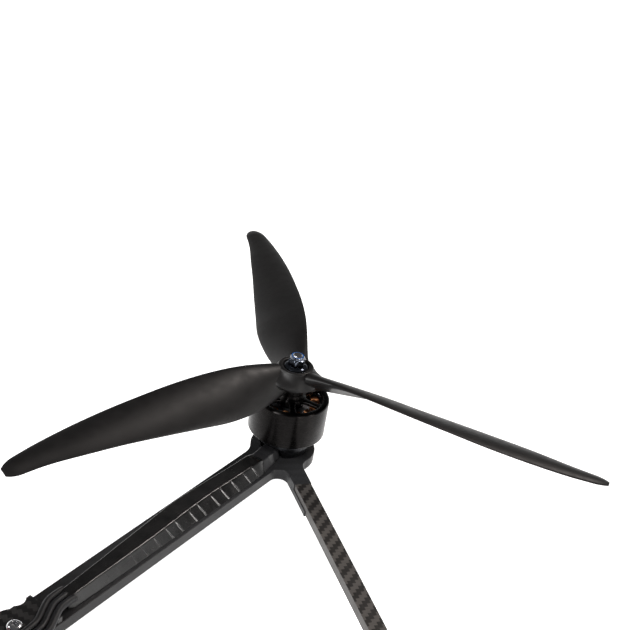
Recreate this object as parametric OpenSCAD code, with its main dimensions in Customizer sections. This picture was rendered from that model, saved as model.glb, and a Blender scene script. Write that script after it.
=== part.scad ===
// Long-range quadcopter with three-blade propellers on four clamped carbon arms.
// +Z is up, the nose points along -Y and the aircraft's left side along +X.
// The origin is on the ground, under the centre of the airframe.

/* [Layout] */
// Left-to-right distance between the motor axes
motor_span_x = 474; // [460:2:500]
// Front-to-back distance between the motor axes
motor_span_y = 350; // [344:2:376]
// Radius swept by a propeller
prop_r = 165; // [150:1:168]

/* [Airframe] */
// Height of the rubber feet
foot_h = 12; // [11.5:0.5:16]
// Thickness of the lower clamp plate
bottom_t = 3; // [2.5:0.5:4]
// Thickness of an arm
arm_t = 6; // [5:0.5:8]
// Width of an arm
arm_w = 20; // [19:0.5:24]
// Thickness of the main deck plate
deck_t = 3; // [2.5:0.5:4]
// Clear height between the main deck and the top plate
bay_h = 35; // [34:1:45]
// Thickness of the top plate
top_t = 2.5; // [2:0.5:3]
// Width of a side brace
brace_w = 8.5; // [7:0.5:9]

/* [Motor] */
// Outer radius of the motor bell
bell_r = 20; // [20:0.5:22]
// Height of the motor bell
bell_h = 20.5; // [20.5:0.5:24]
// Gap between the arm's top face and the bell's lower rim
bell_lift = 11.4; // [11.4:0.2:14]
// Height of the propeller seat above the bell's upper rim
seat_lift = 8.6; // [6:0.2:12]

/* [Battery] */
// Length of the battery pack
battery_l = 150; // [130:1:154]
// Width of the battery pack
battery_w = 66; // [62:1:72]
// Height of the battery pack
battery_h = 52; // [40:1:60]

/* [Camera] */
// Edge length of the square camera body
camera_w = 19; // [17:0.5:20]
// Camera angle at rest, above the horizon
camera_tilt = 20; // [0:1:40]

/* [Hidden] */
$fn = 48;

// Corners of the airframe as signs of X and Y
FRONT_LEFT = [1, -1];
FRONT_RIGHT = [-1, -1];
REAR_LEFT = [1, 1];
REAR_RIGHT = [-1, 1];
CORNERS = [FRONT_LEFT, FRONT_RIGHT, REAR_LEFT, REAR_RIGHT];

// Levels, from the ground up
arm_z = foot_h + bottom_t;
arm_top = arm_z + arm_t;
deck_top = arm_top + deck_t;
top_z = deck_top + bay_h;
roof_z = top_z + top_t;
bell_z = arm_top + bell_lift;
bell_top = bell_z + bell_h;
seat_z = bell_top + seat_lift;

// Arms
motor_x = motor_span_x / 2;
motor_y = motor_span_y / 2;
arm_reach = norm([motor_x, motor_y]);
arm_angle = atan2(motor_y, motor_x);
arm_root = 27;
pad_r = 17;
lobe_r = 11.5;
bolt_stations = [36, 68, 101];
lobe_reach = bolt_stations[2];
bar_w = 19;
bar_reach = 119.5;
waist_at = 113.5;
waist_r = 5;
waist_half = 8;

// Brace lap joint, as distances from the motor axis
lap_start = 34;
lap_end = 52;
lap_t = arm_t / 2;
lug_w = 9.4;
fillet_r = 8;
inner_fillet_r = 5;
back_fillet_r = 14;
brace_t = 5;
lap_screws = [39, 47];

// Motor internals
bolt_circle_r = 9.5;
shaft_r = 2.5;
bearing_r = 5.5;
bearing_h = 4;
tube_r = 7;
base_r = 14.8;
base_h = 10.6;
tube_h = 27.5;
core_h = 13;
core_lift = 14.2;
slot_count = 12;
pole_count = 14;
coil_overhang = 1.6;
air_gap = 0.3;
ring_r = bell_r - 1;
magnet_t = 1.2;
tooth_r = ring_r - magnet_t - air_gap;

// Propeller
blade_count = 3;
hub_r = 10.5;
hub_h = 9.2;
nut_seat = 8;
nut_h = 7.1;
first_blade_angle = 80.4;

// Bay
stack_pitch = 30.5;
esc_z = deck_top + 4;
board_t = 1.6;
fc_z = esc_z + board_t + 8.4;
deck_w = 52;
deck_l = 196;
centre_w = 64;
centre_l = 86;
payload_x = 56;
payload_y = 76;
standoff_x = 20;
standoff_ys = [78, 46];
standoff_r = 2.75;
camera_y = -88;
camera_z = deck_top + bay_h / 2;
plate_gap = 0.5;
side_t = 2;
tab_l = 12;

// Battery
pad_t = 3;
pad_w = 34;
strap_t = 1.2;
strap_w = 18;
strap_y = 30;
strap_slot_x = 20;
battery_z = roof_z + pad_t;

// Clearance radius added to a hole round a screw
slip = 0.1;

// ---------- helpers ----------

module at_corner(c) {
  mirror([c.x < 0 ? 1 : 0, 0, 0]) mirror([0, c.y < 0 ? 1 : 0, 0]) children();
}

// Puts children on the rear left motor's axis, on the arm's top face
module on_motor() {
  translate([motor_x, motor_y, arm_top]) children();
}

// Turns +X into the direction from the centre to the rear left motor
module along_arm() {
  rotate([0, 0, arm_angle]) children();
}

module rounded_rect(w, h, r) {
  square([w - 2 * r, h], center = true);
  square([w, h - 2 * r], center = true);
  for (x = [-1, 1], y = [-1, 1]) translate([x * (w / 2 - r), y * (h / 2 - r)]) circle(r);
}

// A block with round vertical edges, standing on z = 0
module rounded_block(w, l, h, r) {
  linear_extrude(h) rounded_rect(w, l, r);
}

module hex_prism(across_flats, h) {
  cylinder(h = h, r = across_flats / sqrt(3), $fn = 6);
}

// A round-headed socket screw: its head stands on z = 0 and its shank hangs below
module button_screw(shank_r, shank_l, head_r, head_h, key) {
  difference() {
    union() {
      translate([0, 0, -shank_l]) cylinder(h = shank_l + head_h / 2, r = shank_r);
      cylinder(h = head_h * 0.35, r = head_r);
      translate([0, 0, head_h * 0.35])
        cylinder(h = head_h * 0.65, r1 = head_r, r2 = head_r * 0.62);
    }
    translate([0, 0, head_h * 0.35]) hex_prism(key, head_h);
  }
}

module m3_button(l) {
  button_screw(1.5, l, 2.85, 1.65, 2);
}

module m4_button(l) {
  button_screw(2, l, 3.8, 2.2, 2.5);
}

// Lock nut resting on z = 0: a hexagon with a round collar on top
module lock_nut(thread_r, across_flats, h) {
  difference() {
    union() {
      hex_prism(across_flats, h * 0.68);
      cylinder(h = h, r = across_flats / 2 - 0.4);
    }
    translate([0, 0, -1]) cylinder(h = h + 2, r = thread_r + slip / 2);
  }
}

function mix(a, b, t) = a + (b - a) * t;

// Catmull-Rom curve through a list of numbers or points; u runs from 0 to len - 1
function curve_at(p, u) =
  let (n = len(p) - 1, i = min(floor(u), n - 1), t = u - i,
       a = i > 0 ? p[i - 1] : 2 * p[0] - p[1], b = p[i], c = p[i + 1],
       d = i + 2 <= n ? p[i + 2] : 2 * p[n] - p[n - 1])
  0.5 * (2 * b + (c - a) * t + (2 * a - 5 * b + 4 * c - d) * t * t
         + (3 * b - a - 3 * c + d) * t * t * t);

function smooth_path(p, steps) =
  [for (i = [0 : (len(p) - 1) * steps]) curve_at(p, i / steps)];

// One elliptical ring of points across a level route
function route_ring(path, i, w, h, sides) =
  let (n = len(path) - 1, a = path[max(i - 1, 0)], b = path[min(i + 1, n)],
       d = (b - a) / norm(b - a), side = cross([0, 0, 1], d) / norm(cross([0, 0, 1], d)),
       up = cross(d, side))
  [for (k = [0 : sides - 1]) let (a = 360 * k / sides)
    path[i] + side * w / 2 * cos(a) + up * h / 2 * sin(a)];

// Faces that skin equal rings of points with triangles and close both ends
function skin_faces(rings, sides) = concat(
  [[for (k = [0 : sides - 1]) k]],
  [for (i = [0 : rings - 2], k = [0 : sides - 1])
    let (n = (k + 1) % sides, a = i * sides, b = a + sides)
    each [[a + k, b + k, b + n], [a + k, b + n, a + n]]],
  [[for (k = [sides - 1 : -1 : 0]) (rings - 1) * sides + k]]);

module route(path, w, h, sides) {
  points = [for (i = [0 : len(path) - 1]) each route_ring(path, i, w, h, sides)];
  polyhedron(points, skin_faces(len(path), sides), convexity = 4);
}

// ---------- arms, braces and plates ----------

// Points along an arc, in steps of about five degrees
function arc(centre, r, from, to) =
  let (n = ceil(abs(to - from) / 5))
  [for (i = [0 : n]) centre + r * [cos(mix(from, to, i / n)), sin(mix(from, to, i / n))]];

function turned(p, angle) =
  [p.x * cos(angle) - p.y * sin(angle), p.x * sin(angle) + p.y * cos(angle)];

// Outline of an arm from its motor axis: the bar runs along +X and the lug is turned by "turn"
function arm_outline(length, turn) =
  let (a = arm_w / 2, b = lug_w / 2,
       inner_y = a + inner_fillet_r,
       inner = [(b + inner_fillet_r + inner_y * cos(turn)) / sin(turn), inner_y],
       outer_x = sqrt(pow(pad_r + fillet_r, 2) - pow(b + fillet_r, 2)),
       outer_a = atan2(b + fillet_r, outer_x),
       back_x = sqrt(pow(pad_r + back_fillet_r, 2) - pow(a + back_fillet_r, 2)),
       back_a = atan2(a + back_fillet_r, back_x))
  concat(
    [[length, -a], [length, a]],
    arc(inner, inner_fillet_r, -90, turn - 270),
    [turned([lap_end, -b], turn), turned([lap_end, b], turn)],
    [for (p = arc([outer_x, b + fillet_r], fillet_r, 270, 180 + outer_a)) turned(p, turn)],
    arc([0, 0], pad_r, turn + outer_a + 5, 355 - back_a),
    arc([back_x, -a - back_fillet_r], back_fillet_r, 180 - back_a, 90));

module arm_holes() {
  along_arm() for (r = bolt_stations) translate([r, 0]) circle(2 + slip);
  translate([motor_x, motor_y]) {
    circle(4);
    rotate(arm_angle) for (k = [0 : 3]) rotate(45 + 90 * k)
      translate([bolt_circle_r, 0]) circle(1.5 + slip);
  }
}

module arm() {
  color("#26262a") difference() {
    translate([0, 0, arm_z]) linear_extrude(arm_t) difference() {
      translate([motor_x, motor_y]) rotate(180 + arm_angle)
        polygon(arm_outline(arm_reach - arm_root, 90 - arm_angle));
      arm_holes();
      for (s = lap_screws) translate([motor_x, motor_y - s]) circle(1.25 + slip);
    }
    translate([motor_x - lug_w, motor_y - lap_end - 1, arm_z + lap_t])
      cube([2 * lug_w, lap_end + 1 - lap_start, arm_t]);
  }
}

// Side brace between the left motors; both ends are halved to lie on the arms' lugs
module brace() {
  length = 2 * (motor_y - lap_start);
  color("#3a3532") difference() {
    translate([motor_x - brace_w / 2, -length / 2, arm_top - brace_t])
      cube([brace_w, length, brace_t]);
    for (side = [-1, 1]) {
      translate([motor_x - brace_w, side * motor_y, 0]) {
        lap_y = side > 0 ? -lap_end - 0.2 : lap_start - 1;
        translate([0, lap_y, 0]) cube([2 * brace_w, lap_end - lap_start + 1.2, arm_z + lap_t]);
        for (s = lap_screws) translate([brace_w, -side * s, arm_z]) cylinder(h = 5, r = 1.25);
      }
    }
  }
}

module brace_screws() {
  color("silver") for (c = CORNERS, s = lap_screws) at_corner(c)
    translate([motor_x, motor_y - s, arm_z]) mirror([0, 0, 1])
      button_screw(1.25, 4.5, 2.3, 1.3, 1.5);
}

// The four bars over the arms, each to the given reach, with a round lobe at the outer bolt
module cross_outline(reach) {
  for (c = CORNERS) mirror([c.x < 0 ? 1 : 0, 0]) mirror([0, c.y < 0 ? 1 : 0]) rotate(arm_angle) {
    difference() {
      translate([0, -bar_w / 2]) square([reach, bar_w]);
      for (y = [-1, 1]) translate([waist_at, y * (waist_half + waist_r)]) circle(waist_r);
    }
    translate([lobe_reach, 0]) circle(lobe_r);
  }
}

module clamp_holes() {
  for (c = CORNERS) mirror([c.x < 0 ? 1 : 0, 0]) mirror([0, c.y < 0 ? 1 : 0]) rotate(arm_angle)
    for (r = bolt_stations) translate([r, 0]) circle(2 + slip);
  for (x = [-1, 1], y = [-1, 1]) translate([x, y] * stack_pitch / 2) circle(1.5 + slip);
}

// Free holes for a payload rail, outside the arms
module payload_holes() {
  for (x = [-1, 1], y = [-1, 1]) translate([x * payload_x, y * payload_y] / 2) circle(1.5 + slip);
}

module standoff_holes() {
  for (x = [-1, 1], y = [-1, 1], sy = standoff_ys)
    translate([x * standoff_x, y * sy]) circle(1.5 + slip);
}

module side_plate_slots() {
  for (x = [-1, 1]) translate([x * (camera_w / 2 + plate_gap + side_t / 2), camera_y])
    square([side_t + 0.2, tab_l + 0.2], center = true);
}

module bottom_plate() {
  color("#1e1e20") translate([0, 0, foot_h]) linear_extrude(bottom_t) difference() {
    union() {
      cross_outline(lobe_reach);
      rounded_rect(centre_w, centre_l, 8);
    }
    clamp_holes();
    payload_holes();
  }
}

module deck_plate() {
  color("#1e1e20") translate([0, 0, arm_top]) linear_extrude(deck_t) difference() {
    union() {
      cross_outline(bar_reach);
      rounded_rect(deck_w, deck_l, 9);
      rounded_rect(centre_w, centre_l, 8);
    }
    clamp_holes();
    payload_holes();
    standoff_holes();
    side_plate_slots();
  }
}

module top_plate() {
  color("#1e1e20") translate([0, 0, top_z]) linear_extrude(top_t) difference() {
    rounded_rect(deck_w, deck_l, 9);
    standoff_holes();
    side_plate_slots();
    for (x = [-1, 1], y = [-1, 1]) translate([x * strap_slot_x, y * strap_y])
      rounded_rect(strap_t + 1.2, strap_w + 1.6, 0.8);
    rounded_rect(20, 30, 5);
  }
}

module standoffs() {
  color("#b03030") for (x = [-1, 1], y = [-1, 1], sy = standoff_ys)
    translate([x * standoff_x, y * sy, deck_top]) difference() {
      cylinder(h = bay_h, r = standoff_r);
      translate([0, 0, -1]) cylinder(h = 11, r = 1.5 + slip / 2);
      translate([0, 0, bay_h - 10]) cylinder(h = 11, r = 1.5 + slip / 2);
    }
}

module frame_screws() {
  color("#303034") for (x = [-1, 1], y = [-1, 1], sy = standoff_ys)
    translate([x * standoff_x, y * sy, 0]) {
      translate([0, 0, roof_z]) m3_button(top_t + 6);
      translate([0, 0, arm_top]) mirror([0, 0, 1]) m3_button(deck_t + 6);
    }
}

// Bolts through deck, arm and lower plate; the outer one also holds a foot
module arm_clamp_bolts() {
  nut_h = 4;
  color("silver") for (c = CORNERS) at_corner(c) along_arm() for (r = bolt_stations) {
    nut_top = r == lobe_reach ? foot_h - 2.5 : foot_h;
    translate([r, 0, deck_top]) m4_button(deck_top - nut_top + nut_h + 0.5);
    translate([r, 0, nut_top]) mirror([0, 0, 1]) lock_nut(2, 7, nut_h);
  }
}

module motor_screws() {
  head_h = 3;
  color("#303034") for (c = CORNERS) at_corner(c) on_motor() rotate(arm_angle)
    for (k = [0 : 3]) rotate(45 + 90 * k) translate([bolt_circle_r, 0, -arm_t]) difference() {
      union() {
        translate([0, 0, -head_h]) cylinder(h = head_h, r = 2.75);
        translate([0, 0, -1]) cylinder(h = arm_t + 5, r = 1.5);
      }
      translate([0, 0, -head_h - 0.5]) hex_prism(2.5, 2);
    }
}

// Rubber foot under each outer clamp bolt, hollow for the lock nut
module landing_feet() {
  color("#181818") for (c = CORNERS) at_corner(c) along_arm() translate([lobe_reach, 0, 0])
    difference() {
      union() {
        cylinder(h = 2, r1 = 8, r2 = 9);
        translate([0, 0, 2]) cylinder(h = foot_h - 2, r = 9);
      }
      translate([0, 0, -1]) cylinder(h = foot_h - 2.5 + 1, r = 4.6);
      cylinder(h = foot_h + 1, r = 2 + slip);
    }
}

// ---------- electronics in the bay ----------

module board(w, l) {
  linear_extrude(board_t) difference() {
    rounded_rect(w, l, 3);
    for (x = [-1, 1], y = [-1, 1]) translate([x, y] * stack_pitch / 2) circle(1.5 + slip);
  }
}

module speed_controller() {
  color("#20242c") translate([0, 0, esc_z]) {
    board(42, 42);
    for (x = [-1, 1], k = [-1 : 1]) translate([x * 13.5 - 2.5, k * 6 - 2.5, board_t])
      cube([5, 5, 1.2]);
    for (k = [-1 : 1]) translate([k * 6 - 2.5, -17.5, board_t]) cube([5, 5, 1.2]);
    translate([-5, 2, board_t]) cube([10, 10, 1.6]);
  }
}

module flight_controller() {
  color("#101418") translate([0, 0, fc_z]) {
    board(37, 37);
    translate([-5, -5, board_t]) cube([10, 10, 1.4]);
    translate([8, -3, board_t]) cube([4, 4, 1.2]);
    translate([-10.5, 6, board_t]) cube([5, 5, 1]);
    translate([-4.5, 13, board_t]) cube([9, 6.5, 3.2]);
    translate([-4, -17, board_t]) cube([8, 4, 2.6]);
  }
}

module stack_bolts() {
  nut_z = fc_z + board_t;
  color("silver") for (x = [-1, 1], y = [-1, 1])
    translate([x * stack_pitch / 2, y * stack_pitch / 2, 0]) {
      translate([0, 0, foot_h]) mirror([0, 0, 1]) m3_button(nut_z + 3.5 - foot_h);
      translate([0, 0, nut_z]) lock_nut(1.5, 5.5, 3);
    }
}

// Rubber grommets under the speed controller and spacers between the boards
module stack_spacers() {
  color("#c8c4b8") for (x = [-1, 1], y = [-1, 1])
    translate([x * stack_pitch / 2, y * stack_pitch / 2, 0])
      for (level = [[deck_top, esc_z], [esc_z + board_t, fc_z]]) difference() {
        translate([0, 0, level[0]]) cylinder(h = level[1] - level[0], r = 2.6);
        translate([0, 0, level[0] - 1]) cylinder(h = level[1] - level[0] + 2, r = 1.5 + slip);
      }
}

// Smoothing capacitor lying across the bay behind the receiver
module capacitor() {
  can_r = 7.5;
  color("#1d2a52") translate([-14, -31, deck_top + can_r]) rotate([0, 90, 0])
    rotate_extrude() polygon([[0, 0.6], [5.5, 0.6], [6, 0], [can_r, 0], [can_r, 2], [7, 2.8],
      [can_r, 3.6], [can_r, 27], [6.5, 28], [0, 28]]);
}

module video_transmitter() {
  color("#2a2a2e") translate([0, 52, deck_top]) difference() {
    translate([0, -2, 0]) rounded_block(30, 34, 12, 2);
    for (k = [-6 : 6]) translate([k * 2.1 - 0.55, -16, 9]) cube([1.1, 28, 4]);
  }
}

module radio_receiver() {
  color("#303a34") translate([0, -54, deck_top]) {
    rounded_block(16, 26, 1.2, 1);
    translate([-6, -9, 1.2]) cube([12, 12, 2]);
    for (x = [-5, 5]) translate([x, 8, 1.2]) cylinder(h = 2.2, r = 1.4);
  }
}

module gps_module() {
  color("#2c2c30") translate([0, -87.5, roof_z]) {
    rounded_block(20, 19, 5, 2);
    translate([0, 0, 5]) rounded_block(15, 15, 3, 1);
  }
}

// Printed holder between the plates at the tail: carries the antenna and the power socket
module tail_holder() {
  color("#383838") difference() {
    union() {
      translate([0, 82, deck_top]) rounded_block(32, 18, bay_h, 2);
      translate([0, 104, deck_top + bay_h - 10]) cylinder(h = 10, r = 6);
      translate([-5, 90, deck_top + bay_h - 10]) cube([10, 14, 10]);
    }
    translate([0, 104, deck_top]) cylinder(h = bay_h + 1, r = 3.25);
    translate([-9, 78, deck_top + 4]) cube([18, 14, 18]);
    translate([-5, 72, deck_top + 8]) cube([10, 10, 10]);
  }
}

// Four-lobed antenna on a rigid mast that screws down into the tail holder
module video_antenna() {
  z0 = deck_top + bay_h - 12;
  color("#1c1c1e") translate([0, 104, z0]) rotate_extrude()
    polygon([[0, 0], [3.2, 0], [3.2, 12], [4.4, 12], [4.4, 18], [2.2, 20], [1.6, 22], [1.6, 52],
      [2.5, 54], [9, 56], [10, 58], [10, 65], [8, 69], [4, 71], [0, 71.4]]);
}

// Two-pole power inlet, open towards the tail
module power_socket() {
  color("#d0a020") translate([0, 92, deck_top + 13]) rotate([90, 0, 0]) {
    difference() {
      translate([0, 0, 0.2]) linear_extrude(13.6) rounded_rect(17.6, 17.6, 2);
      translate([0, 0, -1]) linear_extrude(9) rounded_rect(14, 14, 1.5);
    }
    for (x = [-3.6, 3.6]) translate([x, 0, 1]) cylinder(h = 10, r = 1.75);
  }
}

// ---------- camera ----------

module camera_side_plates() {
  l = 24;
  color("#1e1e20") for (x = [-1, 1]) translate([x * (camera_w / 2 + plate_gap), camera_y, 0])
    mirror([x < 0 ? 1 : 0, 0, 0]) difference() {
      union() {
        translate([0, -l / 2, deck_top]) cube([side_t, l, bay_h]);
        translate([0, -tab_l / 2, arm_top]) cube([side_t, tab_l, roof_z - arm_top]);
      }
      translate([-1, 0, camera_z]) rotate([0, 90, 0]) cylinder(h = side_t + 2, r = 1.05);
    }
}

// Puts children at the camera's pivot, looking along +X after the tilt
module at_camera() {
  translate([0, camera_y, camera_z]) rotate([-camera_tilt, 0, 0]) children();
}

module camera_body() {
  color("#202022") at_camera() difference() {
    union() {
      translate([-camera_w / 2, -6, -camera_w / 2]) cube([camera_w, 13, camera_w]);
      rotate([90, 0, 0]) cylinder(h = 12, r = 7.6);
    }
    translate([0, -5, 0]) rotate([90, 0, 0]) cylinder(h = 12, r = 6.2);
    rotate([0, 90, 0]) for (s = [0, 180]) rotate([s, 0, 0])
      translate([0, 0, camera_w / 2 - 4]) cylinder(h = 5, r = 1);
  }
}

// Threaded lens barrel with its front glass
module camera_lens() {
  color("#303848") at_camera() rotate([90, 0, 0]) rotate_extrude()
    polygon([[0, 6], [6.2, 6], [6.2, 13], [7, 13.4], [7, 18], [6.2, 18.6], [5.4, 18.6], [4.6, 17.6],
      [3, 18.4], [0, 18.8]]);
}

module camera_screws() {
  gap = plate_gap + side_t + 0.15;
  color("silver") at_camera() for (s = [0, 180]) rotate([0, 0, s])
    translate([camera_w / 2 + gap, 0, 0]) rotate([0, 90, 0])
      button_screw(1, gap + 3.9, 1.9, 1.1, 1.3);
}

// ---------- battery ----------

module battery_pad() {
  color("#2c2c2e") translate([0, 0, roof_z]) difference() {
    rounded_block(pad_w, battery_l - 4, pad_t, 3);
    for (x = [-1, 1], y = [-1, 1], sy = [standoff_ys[1]])
      translate([x * standoff_x, y * sy, -1]) cylinder(h = pad_t + 2, r = 5);
  }
}

// Rounded cross-section of the pack, standing on its own bottom edge
module battery_section(grow) {
  translate([0, battery_h / 2]) rounded_rect(battery_w + 2 * grow, battery_h + 2 * grow, 5 + grow);
}

module battery() {
  color("#2e3138") translate([0, battery_l / 2, battery_z]) rotate([90, 0, 0])
    linear_extrude(battery_l) battery_section(0);
}

// Strap round the pack, through the top plate's slots and back under the plate
module strap_outline() {
  side = strap_slot_x - strap_t / 2;
  difference() {
    battery_section(strap_t);
    battery_section(0);
    translate([-side, -strap_t * 2]) square([2 * side, strap_t * 3]);
  }
  for (x = [-1, 1]) mirror([x < 0 ? 1 : 0, 0])
    translate([side, top_z - battery_z - strap_t - 0.1])
      square([strap_t, battery_z - top_z + strap_t + 0.1]);
  translate([-side, top_z - battery_z - strap_t - 0.1]) square([2 * side, strap_t]);
}

module battery_straps() {
  color("#202020") for (y = [-1, 1]) translate([0, y * strap_y + strap_w / 2, battery_z])
    rotate([90, 0, 0]) linear_extrude(strap_w) strap_outline();
}

// Cinch buckles lying on the straps, on top of the pack
module strap_buckles() {
  color("#505358") for (y = [-1, 1])
    translate([12, y * strap_y, battery_z + battery_h + strap_t]) difference() {
      rounded_block(16, 24, 2.4, 2);
      for (x = [-3.6, 3.6]) translate([x, 0, -1]) rounded_block(3, 19, 5, 1);
    }
}

// ---------- motor wires ----------

// Points are [distance from the motor axis, offset towards the brace, height]
bundle_w = 12.4;
bundle_h = 6;
bundle_points = [
  [11, 0, 24.2], [17, 0.6, 24.2], [27, 1.8, 24.2], [42, 2.6, 24.1], [60, 2.4, 24.3],
  [80, 2.7, 24.1], [100, 2.4, 24.3], [120, 2.7, 24.1], [140, 2.5, 24.3], [156, 2.6, 24.2],
  [168, 2.8, 24.4]
];
wire_d = 3.3;
wire_points = [
  [168, 2.6, 25.8], [174, 3.4, 26], [180, 6, 26], [186, 8.9, 26], [192, 9.7, 26],
  [204, 9.8, 26], [216, 9.9, 26], [228, 9.8, 26], [242, 9.9, 26], [254, 10, 26]
];
// Ends of the three wires at the speed controller's edge, in the same terms
wire_ends = [
  [[261, 5.9, 26.4], [266, 3.6, 28], [269.3, 1.4, 28.8]],
  [[262, 9.2, 26.4], [267, 7.2, 28], [271.9, 5.1, 28.8]],
  [[263, 12.6, 26.4], [269, 10.9, 28], [274.6, 8.8, 28.8]]
];

// Moves a wire point from the arm's own terms to the airframe's
function from_arm(p) =
  let (along = arm_reach - p.x, off = p.y)
  [along * cos(arm_angle) + off * sin(arm_angle), along * sin(arm_angle) - off * cos(arm_angle),
   p.z + arm_top - 21];

function wire_route(k) = concat(
  [for (i = [0 : len(wire_points) - 1]) let (p = wire_points[i])
    [p.x, p.y + (k - 1) * (wire_d + 0.2), p.z]],
  wire_ends[k]);

module wire_set() {
  bundle = [for (p = bundle_points) from_arm(p)];
  route(smooth_path(bundle, 2), bundle_w, bundle_h, 12);
  for (k = [0 : 2]) {
    wire = [for (p = wire_route(k)) from_arm(p)];
    route(smooth_path(wire, 1), wire_d, wire_d, 8);
  }
}

module motor_wires_left() {
  color("#1a1a1c") for (c = [FRONT_LEFT, REAR_LEFT]) at_corner(c) wire_set();
}

module motor_wires_right() {
  color("#1a1a1c") for (c = [FRONT_RIGHT, REAR_RIGHT]) at_corner(c) wire_set();
}

// ---------- motor, fixed half ----------

// Base casting with the bearing tube, four threaded holes and a wire outlet
module motor_bases() {
  color("#2a2a2c") for (c = CORNERS) at_corner(c) on_motor() rotate(arm_angle) difference() {
    rotate_extrude() polygon([[3.2, 0], [12.3, 0], [13, 3], [base_r, 6], [base_r, base_h],
      [tube_r, base_h], [tube_r, tube_h], [bearing_r, tube_h], [bearing_r, 3.2], [3.2, 3.2]]);
    for (k = [0 : 3]) rotate(45 + 90 * k) translate([bolt_circle_r, 0, -1])
      cylinder(h = 7, r = 1.5 + slip / 2);
    translate([-20, -bundle_w / 2 - 0.4, -1]) cube([10.8, bundle_w + 0.8, 7.6]);
  }
}

// Laminated core: a ring with twelve T-shaped teeth
module core_section() {
  difference() {
    union() {
      circle(10.2);
      for (k = [0 : slot_count - 1]) rotate(k * 360 / slot_count) {
        translate([8, -1.3]) square([tooth_r - 8.6, 2.6]);
        intersection() {
          difference() {
            circle(tooth_r);
            circle(tooth_r - 1.2);
          }
          polygon([[0, 0], [30, -30 * tan(12)], [30, 30 * tan(12)]]);
        }
      }
    }
    circle(tube_r);
  }
}

module stator_cores() {
  color("#707074") for (c = CORNERS) at_corner(c) on_motor() translate([0, 0, core_lift])
    linear_extrude(core_h) core_section();
}

// One coil wound round one tooth, as a tapered block with the tooth's hole through it
module coil() {
  difference() {
    translate([0, 0, -coil_overhang]) linear_extrude(core_h + 2 * coil_overhang)
      polygon([[10.6, -2.5], [tooth_r - 1.6, -3.7], [tooth_r - 1.6, 3.7], [10.6, 2.5]]);
    translate([5, -1.35, -0.05]) cube([15, 2.7, core_h + 0.1]);
  }
}

module windings() {
  color("#b06a38") for (c = CORNERS) at_corner(c) on_motor() translate([0, 0, core_lift])
    for (k = [0 : slot_count - 1]) rotate(k * 360 / slot_count) coil();
}

module bearings() {
  color("silver") for (c = CORNERS) at_corner(c) on_motor()
    for (z = [3.2, tube_h - bearing_h]) translate([0, 0, z]) difference() {
      cylinder(h = bearing_h, r = bearing_r);
      translate([0, 0, -1]) cylinder(h = bearing_h + 2, r = shaft_r + 0.05);
    }
}

// ---------- motor, turning half ----------

// Bell: outer ring, spoked top and the raised seat for the propeller
module motor_bell(c) {
  spoke_z = bell_h - 2.3;
  seat_h = bell_h + seat_lift;
  color("#1b1b1d") at_corner(c) on_motor() translate([0, 0, bell_lift]) {
    rotate_extrude() polygon([[ring_r, 0], [bell_r - 0.5, 0], [bell_r, 0.5], [bell_r, bell_h - 0.7],
      [bell_r - 0.7, bell_h], [17.2, bell_h], [16.4, bell_h - 0.6], [16.4, spoke_z],
      [ring_r, spoke_z]]);
    rotate_extrude() polygon([[shaft_r, 17], [7.4, 17], [7.8, spoke_z], [7.8, bell_h],
      [6.4, bell_h + 1], [6, seat_h], [shaft_r, seat_h]]);
    for (k = [0 : 5]) rotate(15 + k * 60) translate([7, -1.8, spoke_z]) cube([10, 3.6, 2.1]);
  }
}

module magnets(c) {
  h = core_h + 1.4;
  color("#a8a8ac") at_corner(c) on_motor() translate([0, 0, core_lift - 0.7])
    for (k = [0 : pole_count - 1]) rotate(k * 360 / pole_count) rotate_extrude(angle = 22)
      translate([ring_r - magnet_t, 0]) square([magnet_t, h]);
}

// Shaft with its threaded upper end and the clip that holds it below the lower bearing
module motor_shaft(c) {
  top = seat_z - arm_top + nut_seat + nut_h + 0.4;
  color("silver") at_corner(c) on_motor() rotate_extrude()
    polygon([[0, 1.5], [2.1, 1.5], [shaft_r, 1.9], [shaft_r, 2.4], [3, 2.4], [3, 3.1], [shaft_r, 3.1],
      [shaft_r, top - 0.5], [2, top], [0, top]]);
}

// ---------- propeller ----------

// Blade design, hub to tip, at equal steps of the radius. Lengths are parts of prop_r.
blade_root = 0.05;
blade_chord = [0.100, 0.149, 0.171, 0.164, 0.149, 0.131, 0.110, 0.082, 0.056];
blade_lead = [0.010, 0.002, 0.000, 0.006, 0.010, 0.013, 0.012, 0.008, -0.006];
blade_twist = [46, 38, 30, 25.5, 21, 16.5, 13, 11, 12];
blade_camber = 0.066;
blade_level = 5;
blade_bow = 0.066;
blade_stations = 15;
ring_points = 12;

// One ring of points round the blade's section at a span fraction s
function blade_ring(s) =
  let (u = (s - blade_root) / (1 - blade_root) * (len(blade_chord) - 1),
       c = curve_at(blade_chord, u), lead = curve_at(blade_lead, u),
       beta = curve_at(blade_twist, u), half_t = mix(0.017, 0.0055, min(1, s * 2)),
       rise = -0.018 - 0.012 * s + blade_bow * s * (1 - s))
  [for (k = [0 : ring_points - 1]) let (a = 360 * k / ring_points, t = (1 - cos(a)) / 2,
      x = (0.5 - t) * c, y = 4 * blade_camber * c * t * (1 - t) + half_t * sin(a))
    prop_r * [s, lead + x * cos(beta) - y * sin(beta),
              rise + x * sin(beta) + y * cos(beta)]];

module blade() {
  rings = [for (i = [0 : blade_stations]) mix(blade_root, 1, i / blade_stations)];
  points = [for (s = rings) each blade_ring(min(s, 0.9999))];
  mirror([0, 1, 0]) polyhedron(points, skin_faces(len(rings), ring_points), convexity = 4);
}

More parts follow.
